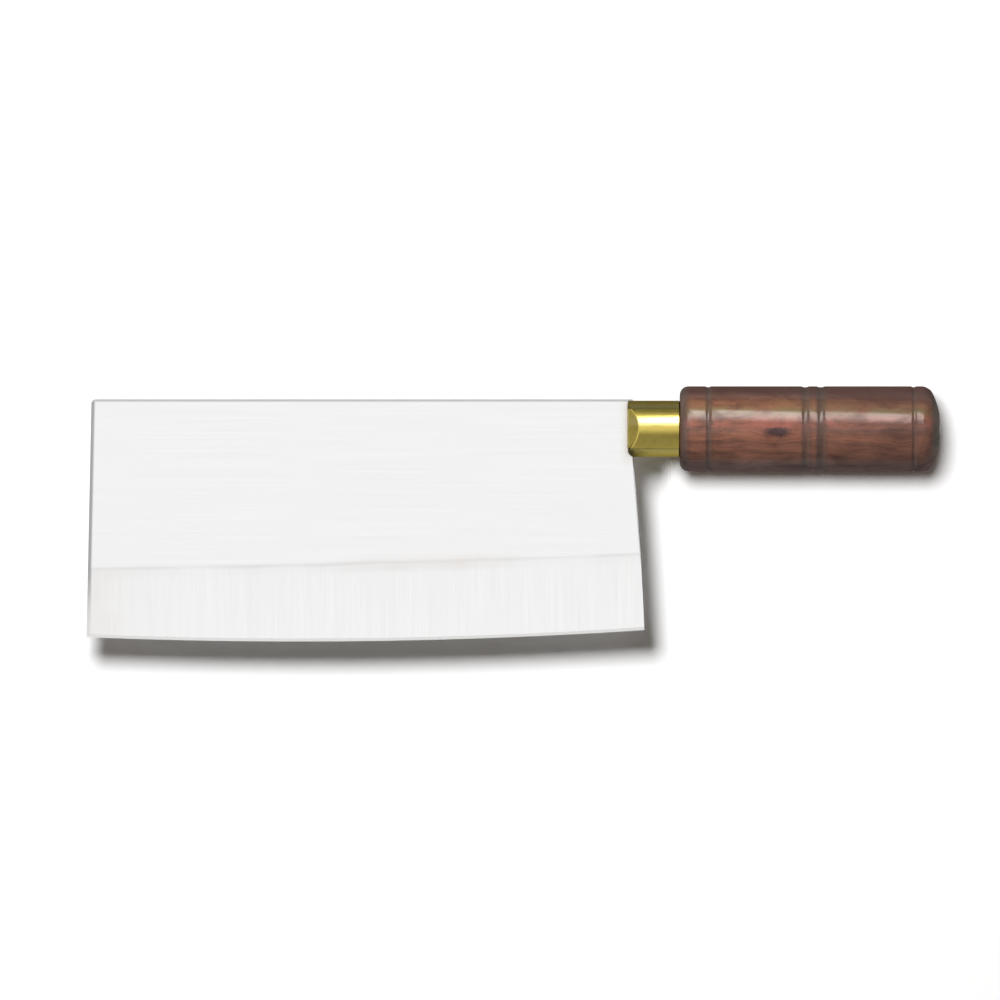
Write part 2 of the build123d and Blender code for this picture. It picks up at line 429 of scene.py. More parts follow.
@dataclass(frozen=True)
class PolishedBrass:
    """Cast brass, turned, filed at its nose and polished, with tarnish left in it; painted shade on its flanks, along
    its middle and in the nose's low corner, and a painted highlight.
    """

    name: str
    colour: Rgb = (0.76, 0.60, 0.13)
    tarnish_colour: Rgb = (0.60, 0.47, 0.10)
    painted_highlight_colour: Rgb = (0.80, 0.72, 0.48)
    upper_shade_colour: Rgb = (0.128, 0.109, 0.034)
    lower_shade_colour: Rgb = (0.30, 0.25, 0.066)
    corner_shade_colour: Rgb = (0.09, 0.07, 0.03)
    shade_start: float = 6.8 * MM
    shade_blur: float = 0.6 * MM
    patchiness: float = 0.5 * MM
    coat: float = 0.06
    corner_place: Pair = (-66.4 * MM, -9.3 * MM)
    roughness: float = 0.16
    tarnish_roughness: float = 0.27
    turning: Triple = (2600, 30, 30)

    def material(self) -> Material:
        """Returns the finished material."""
        material, graph = new_material(self.name)
        place = graph.position()
        x, y, _ = graph.split(place)
        turned = graph.noise(graph.mapped(place, self.turning), detail=3)
        clouds = graph.noise(place, 210, detail=4, distortion=0.4)
        specks = graph.noise(place, 2100)
        patchy = (clouds - 0.5) * self.patchiness + y
        corner_x, corner_y = x - self.corner_place[0], y - self.corner_place[1]
        from_corner = graph.math("SQRT", corner_x * corner_x + corner_y * corner_y)
        shade_end = self.shade_start + self.shade_blur
        colour = graph.tinted(
            self.colour,
            (graph.rise(clouds, 0.42, 0.7), self.tarnish_colour),
            (graph.rise(turned, 0.3, 0.7, 0.0, 0.18), self.tarnish_colour),
            # A darker band along the middle, painted shade below the highlight, laid in the tarnish colour.
            (graph.peak(patchy, 0.0, 0.7 * MM, 1.8 * MM) * 0.9, self.tarnish_colour),
            # A painted highlight: a paler streak where the highlight lies.
            (graph.peak(patchy, 2.6 * MM, 0.8 * MM, 2.2 * MM) * 0.22, self.painted_highlight_colour),
            # Painted shade on the upper flank.
            (graph.rise(patchy, self.shade_start, shade_end, 0.0, 0.97), self.upper_shade_colour),
            # Painted shade on the lower flank, lighter than on the upper one.
            (graph.rise(patchy, -shade_end, -self.shade_start, 0.95, 0.0), self.lower_shade_colour),
            # Painted shade in the nose's low corner.
            (graph.rise(from_corner, 1.2 * MM, 3.4 * MM, 0.8, 0.0), self.corner_shade_colour),
        )
        rough = graph.rise(clouds, 0.35, 0.7, self.roughness, self.tarnish_roughness)
        graph.surface(
            Base_Color=colour,
            Metallic=1.0,
            Roughness=(specks - 0.5) * 0.06 + rough,
            Normal=graph.bump(clouds, 0.01 * MM, Normal=graph.bump(turned, 0.0025 * MM)),
            Specular_Tint=(0.45, 0.4, 0.3),
            Coat_Weight=self.coat,
            Coat_IOR=3.0,
            Coat_Roughness=0.16,
        )
        return material


@dataclass(frozen=True)
class LacqueredWood:
    """Dark red hardwood under satin lacquer, with a knot and burnt rings; painted shade along its rims, at its ends and
    towards the butt, and painted highlight tints around the highlight.
    """

    shadow_colour: Rgb = (0.070, 0.034, 0.026)
    lower_rim_shade_colour: Rgb = (0.068, 0.046, 0.048)
    dark_colour: Rgb = (0.140, 0.062, 0.043)
    middle_colour: Rgb = (0.25, 0.104, 0.065)
    light_colour: Rgb = (0.37, 0.15, 0.09)
    right_shade_colour: Rgb = (0.14, 0.078, 0.068)
    burnt_colour: Rgb = (0.078, 0.056, 0.046)
    butt_rim_shade_colour: Rgb = (0.125, 0.120, 0.100)
    knot_colour: Rgb = (0.050, 0.024, 0.026)
    halo_colour: Rgb = (0.42, 0.12, 0.085)
    painted_glow_colour: Rgb = (0.46, 0.135, 0.095)
    olive_fringe_colour: Rgb = (0.28, 0.15, 0.066)
    painted_fringe_colour: Rgb = (0.20, 0.155, 0.055)
    roughness: float = 0.5
    pore_roughness: float = 0.7
    rings: tuple[Triple, ...] = (
        (-37.2 * MM, 2.0 * MM, 0.60),
        (-2.0 * MM, 2.9 * MM, 0.57),
        (3.4 * MM, 3.1 * MM, 0.69),
        (37.6 * MM, 1.8 * MM, 0.37),
    )
    ring_edges: tuple[float, ...] = (-0.72, -0.24, 0.3, 1.1)
    knot_place: Pair = (-12.3 * MM, -0.9 * MM)
    knot_reach: Pair = (5.5 * MM, 2.3 * MM)
    heart: Triple = (0, 0.021, 0.034)
    handle_reach: float = 47.5 * MM

    def burns(self, graph: Graph, place: Value, x: Value) -> Value:
        """Scorches the wood along the rings.

        Args:
            graph: The wood's graph.
            place: The place on the handle.
            x: The place along it.

        Returns:
            How far the wood is scorched.
        """
        scorched = (graph.noise(place, 900, detail=3) - 0.5) * (1.2 * MM) + x
        bands = []
        for centre, width, burn in self.rings:
            edges = [centre + width * edge for edge in self.ring_edges]
            bands.append(graph.rise(scorched, *edges[:2], 0.0, burn) * graph.rise(scorched, *edges[2:], 1.0, 0.0))
        return reduce(Value.most, bands)

    def knot(self, graph: Graph, place: Value, x: Value, y: Value) -> tuple[Value, Value]:
        """Draws the knot, flatter above than below.

        Args:
            graph: The wood's graph.
            place: The place on the handle.
            x: The place along it.
            y: The place across it.

        Returns:
            The ragged distance from the knot in knots, and which side of it this is.
        """
        knot_x = (x - self.knot_place[0]) / self.knot_reach[0]
        knot_y = (y - self.knot_place[1]) / self.knot_reach[1]
        flat_top = (knot_y * 1.5).most(knot_y * -1.0)
        ragged = (graph.noise(place, 700, detail=3) - 0.5) * 0.9
        return graph.math("SQRT", knot_x * knot_x + flat_top * flat_top) + ragged, graph.math("SIGN", knot_y)

    def material(self) -> Material:
        """Returns the finished material."""
        material, graph = new_material("handle_lacquered_wood")
        place = graph.position()
        x, y, z = graph.split(place)
        upper = graph.rise(z, 0.0, 4 * MM)
        from_knot, knot_side = self.knot(graph, place, x, y)
        near_knot = graph.rise(from_knot, 1.0, 3.4, 1.0, 0.0) * upper
        in_knot = graph.rise(from_knot, 0.45, 1.25, 1.0, 0.0) * upper

        sway = (graph.noise(graph.mapped(place, (26, 60, 60))) - 0.5) * (12 * MM)
        grain = graph.joined(x, y + sway - near_knot * knot_side * (1.6 * MM), z + sway)
        ring = graph.node("ShaderNodeTexWave", wave_type="RINGS", rings_direction="X", wave_profile="SAW")
        graph.fill(ring, Vector=graph.mapped(grain, (1, 1, 1), self.heart), Scale=95.0, Distortion=1.2)
        graph.fill(ring, Detail=3.0, Detail_Scale=0.6)
        growth = Value(graph, ring.outputs["Fac"])
        streaks = graph.noise(graph.mapped(grain, (16, 460, 460)), detail=5)
        fibres = graph.noise(graph.mapped(grain, (70, 3200, 3200)), detail=3)
        mottle = graph.noise(graph.mapped(place, (85, 150, 150)), detail=3, distortion=0.6)
        pores = graph.rise(graph.noise(graph.mapped(grain, (260, 5200, 5200), (0.3, 0, 0)), detail=1), 0.62, 0.72)
        tones = (self.shadow_colour, self.dark_colour, self.middle_colour, self.light_colour)
        figure = growth * 0.07 + streaks * 0.60 + mottle * 0.50 + fibres * 0.30 - 0.22
        colour = graph.ramp(figure, list(zip((0.22, 0.38, 0.52, 0.72), tones)))

        uneven = (streaks - 0.5) * (6 * MM)
        # Painted shade that darkens the wood towards the butt, as the light falls off; it also thins the coat there.
        right_side_dimming = graph.rise(x, -30 * MM, 30 * MM, 0.0, 0.62)
        # An olive band above the highlight: wood tone, and in part a painted tint of the highlight's upper fringe.
        olive_fringe_band = graph.peak(y, 7.2 * MM, 2 * MM, 5 * MM) * graph.rise(mottle, 0.35, 0.6, 0.1, 0.55)
        # A painted highlight tint: green-gold just above the highlight, on the upper face.
        fringe_above_highlight = graph.peak(y, 6.2 * MM, 0.6 * MM, 2.2 * MM) * graph.rise(mottle, 0.35, 0.65, 0.1, 0.75)
        # A painted glow: redder wood just under the highlight, on the upper face.
        glow_under_highlight = graph.peak(y, 2.6 * MM, 1 * MM, 3 * MM) * graph.rise(mottle, 0.38, 0.62, 0.05, 0.6)
        # Painted shade on the rounded ends: darker at the front, greyer at the butt.
        end_darkening = graph.rise(abs(x), self.handle_reach - 4.5 * MM, self.handle_reach - 1.2 * MM)
        # Painted shade along both rims, greyer on the lower one.
        both_rims_shade_colour = graph.mix(graph.rise(y, -2 * MM, 2 * MM), self.lower_rim_shade_colour, self.shadow_colour)
        end_shade_colour = graph.mix(graph.rise(x, -10 * MM, 10 * MM), self.burnt_colour, self.butt_rim_shade_colour)
        colour = graph.tinted(
            colour,
            (olive_fringe_band, self.olive_fringe_colour),
            (fringe_above_highlight * upper, self.painted_fringe_colour),
            (glow_under_highlight * upper, self.painted_glow_colour),
            # Painted shade along the upper rim, reaching further in towards the butt.
            (graph.rise(right_side_dimming * (3.5 * MM) + uneven + y, 8.8 * MM, 14.8 * MM, 0.0, 0.93), self.shadow_colour),
            # Painted shade along both rims.
            (graph.rise(uneven + abs(y), 9 * MM, 15 * MM, 0.0, 0.55), both_rims_shade_colour),
            # Painted shade towards the butt.
            (right_side_dimming * 0.5, self.right_shade_colour),
            (near_knot * graph.rise(y, -4 * MM, 3 * MM, 0.05, 0.6), self.halo_colour),
            (in_knot * 0.93, self.knot_colour),
            (pores * 0.55, self.shadow_colour),
            (self.burns(graph, place, x), self.burnt_colour),
            # Painted shade on the rounded ends.
            (end_darkening * 0.8, end_shade_colour),
        )
        coat = right_side_dimming * -0.05 + graph.rise(mottle, 0.35, 0.65, 0.085, 0.125)
        graph.surface(
            Base_Color=colour,
            Roughness=pores * (self.pore_roughness - self.roughness) + self.roughness,
            Normal=graph.bump(fibres * 0.35 - pores, 0.02 * MM, Normal=graph.bump(mottle, 0.03 * MM)),
            Specular_IOR_Level=0.0,
            Coat_Weight=coat * graph.rise(y, 11.2 * MM, 13.8 * MM, 1.0, 0.45),
            Coat_IOR=3.6,
            Coat_Roughness=0.12,
        )
        return material


@dataclass(frozen=True)
class RodSteel:
    """Plain drawn steel rod, hammered where it is peened."""

    colour: Rgb = (0.21, 0.20, 0.19)
    scale_colour: Rgb = (0.09, 0.08, 0.07)
    roughness: float = 0.28
    scale_roughness: float = 0.58

    def material(self) -> Material:
        """Returns the finished material."""
        material, graph = new_material("tang_rod_steel")
        place = graph.position()
        clouds = graph.noise(place, 420, detail=4)
        dents = graph.fill(graph.node("ShaderNodeTexVoronoi", feature="SMOOTH_F1"), Vector=place, Scale=620.0)
        graph.surface(
            Base_Color=graph.mix(graph.rise(clouds, 0.45, 0.72, 0.0, 0.8), self.colour, self.scale_colour),
            Metallic=1.0,
            Roughness=clouds * (self.scale_roughness - self.roughness) + self.roughness,
            Normal=graph.bump(Value(graph, dents.outputs["Distance"]), 0.08 * MM),
        )
        return material


@dataclass(frozen=True)
class SetResin:
    """Dark resin, poured in hot and set with fine bubbles in it."""

    colour: Rgb = (0.045, 0.026, 0.016)
    rim_colour: Rgb = (0.11, 0.06, 0.03)

    def material(self) -> Material:
        """Returns the finished material."""
        material, graph = new_material("tang_set_resin")
        place = graph.position()
        clouds = graph.noise(place, 300, detail=4)
        bubbles = graph.rise(graph.noise(place, 2600, detail=1), 0.6, 0.75)
        graph.surface(
            Base_Color=graph.mix(clouds, self.colour, self.rim_colour),
            Roughness=clouds * 0.2 + 0.35,
            Normal=graph.bump(bubbles, -0.05 * MM),
        )
        return material


def linked(name: str, data: bpy.types.ID) -> Object:
    """Puts a new object in the scene.

    Args:
        name: Its name.
        data: Its mesh, light or camera.

    Returns:
        The object.
    """
    made = bpy.data.objects.new(name, data)
    bpy.context.scene.collection.objects.link(made)
    return made


def meshed(shape: Shape, name: str, material: Material) -> Object:
    """Makes an object of a bmesh, which is freed.

    Args:
        shape: The bmesh.
        name: The object's name.
        material: Its finish.

    Returns:
        The object.
    """
    mesh = bpy.data.meshes.new(name)
    shape.to_mesh(mesh)
    shape.free()
    mesh.materials.append(material)
    return linked(name, mesh)


def new_piece(shape: Shape, name: str, material: Material) -> Object:
    """Makes a finished piece of a bmesh, which is freed.

    Args:
        shape: The bmesh.
        name: The piece's name.
        material: Its finish.

    Returns:
        The piece's object, riding on the part.
    """
    piece = meshed(shape, name, material)
    mesh = piece.data
    if "custom_normal" in mesh.attributes:
        mesh.attributes.remove(mesh.attributes["custom_normal"])
    mesh.shade_smooth()
    mesh.set_sharp_from_angle(angle=SHARP_ANGLE)
    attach(piece, ROOT)
    log.info("piece %s: %d faces", name, len(mesh.polygons))
    return piece


def dress_node(node: Object, material: Material) -> None:
    """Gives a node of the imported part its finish.

    Args:
        node: The node's object.
        material: The finish.
    """
    node.data.materials.clear()
    node.data.materials.append(material)
    log.info("node %s: %s", node.name, material.name)


def merged(node: Object) -> Shape:
    """Copies a node's mesh and joins its faces where they touch.

    Args:
        node: The node's object.

    Returns:
        The copy.
    """
    shape = bmesh.new()
    shape.from_mesh(node.data)
    bmesh.ops.remove_doubles(shape, verts=shape.verts[:], dist=SAME_PLACE)
    return shape


def only(kind: type, parts: Sequence[object]) -> list:
    """Returns the vertices, edges or faces among some parts of a mesh."""
    return [part for part in parts if isinstance(part, kind)]


def eased(shape: Shape, parts: Sequence[object], size: float, segments: int, affect: str) -> None:
    """Rounds edges or vertices, as affect says, by a size along their sides and in some segments."""
    bmesh.ops.bevel(shape, geom=parts, offset=size, segments=segments, profile=0.5, affect=affect, material=-1)


@dataclass
class BladeWork:
    """The ground blade."""

    finish: GroundSteel = GroundSteel()

    def dress(self, nodes: Nodes) -> None:
        """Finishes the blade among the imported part's nodes."""
        dress_node(nodes[Node.BLADE.value], self.finish.material())


@dataclass
class BolsterWork:
    """The brass collar between the blade and the handle, with the sharp edges of its nose polished round."""

    same_corner: float = 0.1 * MM
    flat_angle: float = 0.6 * DEGREE
    sharp_angle: float = 30 * DEGREE
    rounded_to_x: float = -48.0 * MM
    slot_half_width: float = 0.95 * MM
    bore_reach: float = 6.0 * MM
    low_corner: Triple = (-66.2 * MM, -7.6 * MM, 6.4 * MM)
    edge_round: float = 0.38 * MM
    edge_segments: int = 4
    finish: PolishedBrass = PolishedBrass("bolster_polished_brass")

    def on_the_nose(self, edge: Edge) -> bool:
        """Tells whether an edge is a sharp one that polishing rounds.

        Args:
            edge: The edge.

        Returns:
            True outside the slot and the bore, in front of the handle.
        """
        middle = (edge.verts[0].co + edge.verts[1].co) / 2
        outside = abs(middle.z) > self.slot_half_width and math.hypot(middle.y, middle.z) > self.bore_reach
        return outside and middle.x < self.rounded_to_x and edge.calc_face_angle(0.0) > self.sharp_angle

    def at_low_corner(self, vertex: Vertex) -> bool:
        """Tells whether a vertex is one of the close ones at the nose's two low corners."""
        x, y, z = vertex.co
        return x < self.low_corner[0] and y < self.low_corner[1] and abs(z) > self.low_corner[2]

    def build(self, nodes: Nodes) -> Object:
        """Rounds a merged copy of the bolster's node.

        Args:
            nodes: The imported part's nodes.

        Returns:
            The bolster, standing for its node.
        """
        shape = merged(nodes[Node.BOLSTER.value])
        corner = [vertex for vertex in shape.verts if self.at_low_corner(vertex)]
        bmesh.ops.remove_doubles(shape, verts=corner, dist=self.same_corner)
        bmesh.ops.dissolve_limit(shape, angle_limit=self.flat_angle, verts=shape.verts[:], edges=shape.edges[:])
        sharp = [edge for edge in shape.edges if self.on_the_nose(edge)]
        eased(shape, sharp, self.edge_round, self.edge_segments, "EDGES")
        piece = new_piece(shape, "bolster_rounded", self.finish.material())
        piece.modifiers.new("flat faces stay flat", "WEIGHTED_NORMAL").keep_sharp = True
        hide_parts(Node.BOLSTER.value)
        return piece


@dataclass
class HandleWork:
    """The turned handle, made again with eased grooves and a bore."""

    front_x: float = -47.5 * MM
    butt_x: float = 47.5 * MM
    radius: float = 15.488 * MM
    front_round: float = 3.1 * MM
    butt_round: float = 4.8 * MM
    round_segments: int = 12
    crown_radius: float = 31.0 * MM
    crown_shares: Triple = (0.74, 0.6, 0.48)
    groove_depth: float = 0.35 * MM
    groove_floor: float = 0.3
    groove_ease: float = 0.25 * MM
    ease_segments: int = 3
    groove_places: tuple[float, ...] = (10.3 * MM, 45.6 * MM, 51.3 * MM, 85.1 * MM)
    groove_widths: tuple[float, ...] = (2.0 * MM, 2.9 * MM, 3.1 * MM, 1.8 * MM)
    counterbore: Pair = (-42.2 * MM, 7.1 * MM)
    front_bore: Pair = (-11.5 * MM, 4.8 * MM)
    rear_bore_radius: float = 3.7 * MM
    recess: Pair = (44.4 * MM, 5.65 * MM)
    recess_ease: float = 0.12 * MM
    turns: int = 160
    finish: LacqueredWood = LacqueredWood()

    def crown_x(self, height: float) -> float:
        """Returns the place along the axis where the butt's dome has a height."""
        return self.butt_x - self.crown_radius + math.sqrt(self.crown_radius**2 - height**2)

    def profile(self) -> list[Triple]:
        """Draws half of the lengthwise section.

        Returns:
            Each corner's place along the axis, its radius and how far it is eased along its sides.
        """
        corners = [(self.front_x, self.counterbore[1], 0.0), (self.front_x, self.radius, self.front_round)]
        for distance, width in zip(self.groove_places, self.groove_widths):
            for side, depth in ((-1, 0), (-self.groove_floor, 1), (self.groove_floor, 1), (1, 0)):
                x = self.front_x + distance + side * width / 2
                corners.append((x, self.radius - depth * self.groove_depth, self.groove_ease))
        turn = math.asin(self.radius / self.crown_radius)
        butt_ease = self.butt_round * math.tan((math.pi / 2 - turn) / 2)
        corners.append((self.crown_x(self.radius), self.radius, butt_ease))
        corners += [(self.crown_x(self.radius * share), self.radius * share, 0.0) for share in self.crown_shares]
        corners += [
            (self.crown_x(self.recess[1]), self.recess[1], self.recess_ease),
            (*self.recess, 0.0),
            (self.recess[0], self.rear_bore_radius, 0.0),
            (self.front_bore[0], self.rear_bore_radius, 0.0),
            (*self.front_bore, 0.0),
            (self.counterbore[0], self.front_bore[1], 0.0),
            (*self.counterbore, 0.0),
        ]
        return corners

    def build(self) -> Object:
        """Spins the section about the handle's axis.

        Returns:
            The handle, standing for its node.
        """
        shape = bmesh.new()
        corners = self.profile()
        rim = [shape.verts.new((x, radius, 0.0)) for x, radius, _ in corners]
        shape.faces.new(rim)
        for vertex, (_, _, ease) in zip(rim, corners):
            if ease > 0.0:
                segments = self.ease_segments if ease <= self.groove_ease else self.round_segments
                eased(shape, [vertex], ease, segments, "VERTICES")
        section = shape.faces[:][0]
        outline = list(section.edges)
        bmesh.ops.delete(shape, geom=[section], context="FACES_ONLY")
        spun = outline + list({v for e in outline for v in e.verts})
        bmesh.ops.spin(shape, geom=spun, axis=(1, 0, 0), angle=2 * math.pi, steps=self.turns, use_merge=True)
        bmesh.ops.remove_doubles(shape, verts=shape.verts[:], dist=SAME_PLACE)
        bmesh.ops.recalc_face_normals(shape, faces=shape.faces[:])
        piece = new_piece(shape, "handle_turned", self.finish.material())
        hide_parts(Node.HANDLE.value)
        return piece


@dataclass
class BrazeWork:
    """The thin line of braze that joins the blade's cheeks to the bolster's nose."""

    nose_x: float = -66.38 * MM
    cheek_z: float = 0.97 * MM
    low_y: float = -7.7 * MM
    high_y: float = 9.9 * MM
    leg: float = 0.36 * MM
    arc_steps: int = 5
    steps: int = 48
    size: float = 0.85
    ripples: tuple[Triple, ...] = ((0.13, 23.0, 0.6), (0.08, 61.0, 2.1))
    end_size: float = 0.25
    end_growth: float = 14.0
    finish: PolishedBrass = PolishedBrass(
        "braze_line_brass",
        colour=(0.34, 0.28, 0.13),
        tarnish_colour=(0.20, 0.16, 0.07),
        roughness=0.38,
        tarnish_roughness=0.5,
    )

    def swell(self, share: float) -> float:
        """Returns the line's size next to the full leg, at a share of its length."""
        ripple = sum(height * math.sin(pace * share + start) for height, pace, start in self.ripples)
        return (self.size + ripple) * min(1.0, self.end_size + self.end_growth * min(share, 1.0 - share))

    def bead(self, side: int) -> Shape:
        """Draws one line out along a cheek.

        Args:
            side: 1 for the upper cheek, -1 for the lower.

        Returns:
            The line.
        """
        shape = bmesh.new()
        turns = [math.pi / 2 * step / self.arc_steps for step in range(self.arc_steps + 1)]
        corner = Vector((self.nose_x, self.low_y, side * self.cheek_z))
        rim = [shape.verts.new(corner)]
        for turn in turns:
            reach = Vector((math.sin(turn) - 1, 0, side * (1 - math.cos(turn))))
            rim.append(shape.verts.new(corner + reach * self.leg))
        cap = shape.faces.new(rim)
        size = 1.0
        stride = (self.high_y - self.low_y) / self.steps
        middle = Matrix.Translation((self.nose_x, 0, side * self.cheek_z))
        for step in range(self.steps + 1):
            wanted = self.swell(step / self.steps)
            grown = middle @ Matrix.Diagonal((wanted / size, 1, wanted / size, 1)) @ middle.inverted()
            bmesh.ops.transform(shape, matrix=grown, verts=list(cap.verts))
            size = wanted
            if step < self.steps:
                made = bmesh.ops.extrude_face_region(shape, geom=[cap])["geom"]
                bmesh.ops.translate(shape, verts=only(Vertex, made), vec=(0, stride, 0))
                if step:
                    bmesh.ops.delete(shape, geom=[cap], context="FACES_ONLY")
                cap = only(Face, made)[0]
        bmesh.ops.recalc_face_normals(shape, faces=shape.faces[:])
        return shape

    def build(self) -> None:
        """Lays a line along both cheeks."""
        material = self.finish.material()
        for side, name in ((1, "braze_line_upper"), (-1, "braze_line_lower")):
            new_piece(self.bead(side), name, material)


@dataclass
class TangWork:
    """The tang rod, the resin round it and the washer under its peened end."""

    cut_x: float = 45.9 * MM
    rim_x: float = 46.08 * MM
    peen_reach: float = 4.1 * MM
    crown_centre: float = 40.796 * MM
    crown_radius: float = 6.704 * MM
    crown_rings: int = 22
    blow_rings: tuple[tuple[int, float], ...] = ((1, 3.0), (5, 16.0), (9, 30.0))
    blow_depth: float = 0.10 * MM
    uneven_turn: Pair = (0.37, 5.1)
    uneven_lean: Triple = (2.5, 3.7, 1.0)
    uneven_depth: Pair = (0.3, 7.3)
    rod_finish: RodSteel = RodSteel()
    cement_finish: SetResin = SetResin()
    washer_finish: PolishedBrass = PolishedBrass(
        "washer_stamped_brass",
        colour=(0.52, 0.42, 0.16),
        tarnish_colour=(0.30, 0.24, 0.09),
        roughness=0.3,
        turning=(30, 2200, 2200),
    )

    def dress(self, nodes: Nodes) -> None:
        """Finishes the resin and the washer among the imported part's nodes."""
        dress_node(nodes[Node.CEMENT.value], self.cement_finish.material())
        dress_node(nodes[Node.WASHER.value], self.washer_finish.material())

    def blows(self) -> list[tuple[Vector, float]]:
        """Places the hammer's blows over the crown.

        Returns:
            Each blow's direction and how far from the crown's centre it left the steel.
        """
        blows = []
        sway, pace = self.uneven_turn
        tip, tip_pace, tip_start = self.uneven_lean
        dip, dip_pace = self.uneven_depth
        for count, tilt in self.blow_rings:
            for number in range(count):
                turn = 2 * math.pi * (number + sway * math.sin(pace * number + tilt)) / count + tilt
                lean = (tilt + tip * math.sin(tip_pace * number + tip_start)) * DEGREE
                towards = Vector((math.cos(lean), math.sin(lean) * math.cos(turn), math.sin(lean) * math.sin(turn)))
                depth = self.blow_depth * (1.0 + dip * math.sin(dip_pace * number + tilt))
                blows.append((towards, self.crown_radius - depth))
        return blows

    def hammer(self, shape: Shape) -> None:
        """Flattens the crown under each blow.

        Args:
            shape: The rod, whose crown lies beyond the cut.
        """
        centre = Vector((self.crown_centre, 0, 0))
        blows = self.blows()
        for vertex in (vertex for vertex in shape.verts if vertex.co.x > self.cut_x):
            for towards, kept in blows:
                beyond = (vertex.co - centre).dot(towards) - kept
                if beyond > 0.0:
                    vertex.co -= towards * beyond

    def peen(self, nodes: Nodes) -> Object:
        """Makes the rod again with a hammered end.

        Args:
            nodes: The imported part's nodes.

        Returns:
            The rod, standing for its node.
        """
        shape = merged(nodes[Node.TANG_ROD.value])
        everything = shape.verts[:] + shape.edges[:] + shape.faces[:]
        plane = {"plane_co": (self.cut_x, 0, 0), "plane_no": (1, 0, 0)}
        cut = bmesh.ops.bisect_plane(shape, geom=everything, dist=SAME_PLACE, clear_outer=True, **plane)
        rim = only(Edge, cut["geom_cut"])
        reach, place = self.peen_reach, self.cut_x
        for ring in range(self.crown_rings):
            new_reach = self.peen_reach * (1.0 - ring / self.crown_rings)
            new_place = self.crown_centre + math.sqrt(self.crown_radius**2 - new_reach**2) if ring else self.rim_x
            made = bmesh.ops.extrude_edge_only(shape, edges=rim)["geom"]
            rim = only(Edge, made)
            corners = only(Vertex, made)
            bmesh.ops.scale(shape, vec=(1, new_reach / reach, new_reach / reach), verts=corners)
            bmesh.ops.translate(shape, vec=(new_place - place, 0, 0), verts=corners)
            reach, place = new_reach, new_place
        middle = bmesh.ops.edgeloop_fill(shape, edges=rim)["faces"]
        for vertex in bmesh.ops.poke(shape, faces=middle)["verts"]:
            vertex.co.x = self.crown_centre + self.crown_radius
        self.hammer(shape)
        bmesh.ops.recalc_face_normals(shape, faces=shape.faces[:])
        piece = new_piece(shape, "tang_rod_peened", self.rod_finish.material())
        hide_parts(Node.TANG_ROD.value)
        return piece


class Aim(Enum):
    """What a lamp lights."""

    ONLY = "INCLUDE"
    ALL_BUT = "EXCLUDE"


@dataclass(frozen=True)
class Lamp:
    """A round lamp, as strong far off as it is near."""

    name: str
    place: Triple
    target: Triple
    size: float
    power: float
    colour: Rgb = (0.985, 0.99, 1.0)

    def hang(self) -> Object:
        """Hangs it in its place, pointing at its target.

        Returns:
            The lamp's object.
        """
        data = bpy.data.lights.new(self.name, "AREA")
        data.shape = "DISK"
        data.size = self.size
        data.energy = self.power
        data.color = self.colour
        data.use_nodes = True
        graph = Graph(data.node_tree)
        steady = graph.fill(graph.node("ShaderNodeLightFalloff"), Strength=1.0)
        glow = graph.made("ShaderNodeEmission", Strength=Value(graph, steady.outputs["Constant"]))
        graph.show(glow, "ShaderNodeOutputLight")
        hung = linked(self.name, data)
        hung.location = self.place
        hung.rotation_euler = (Vector(self.place) - Vector(self.target)).to_track_quat("Z", "Y").to_euler()
        hung.visible_glossy = False
        return hung


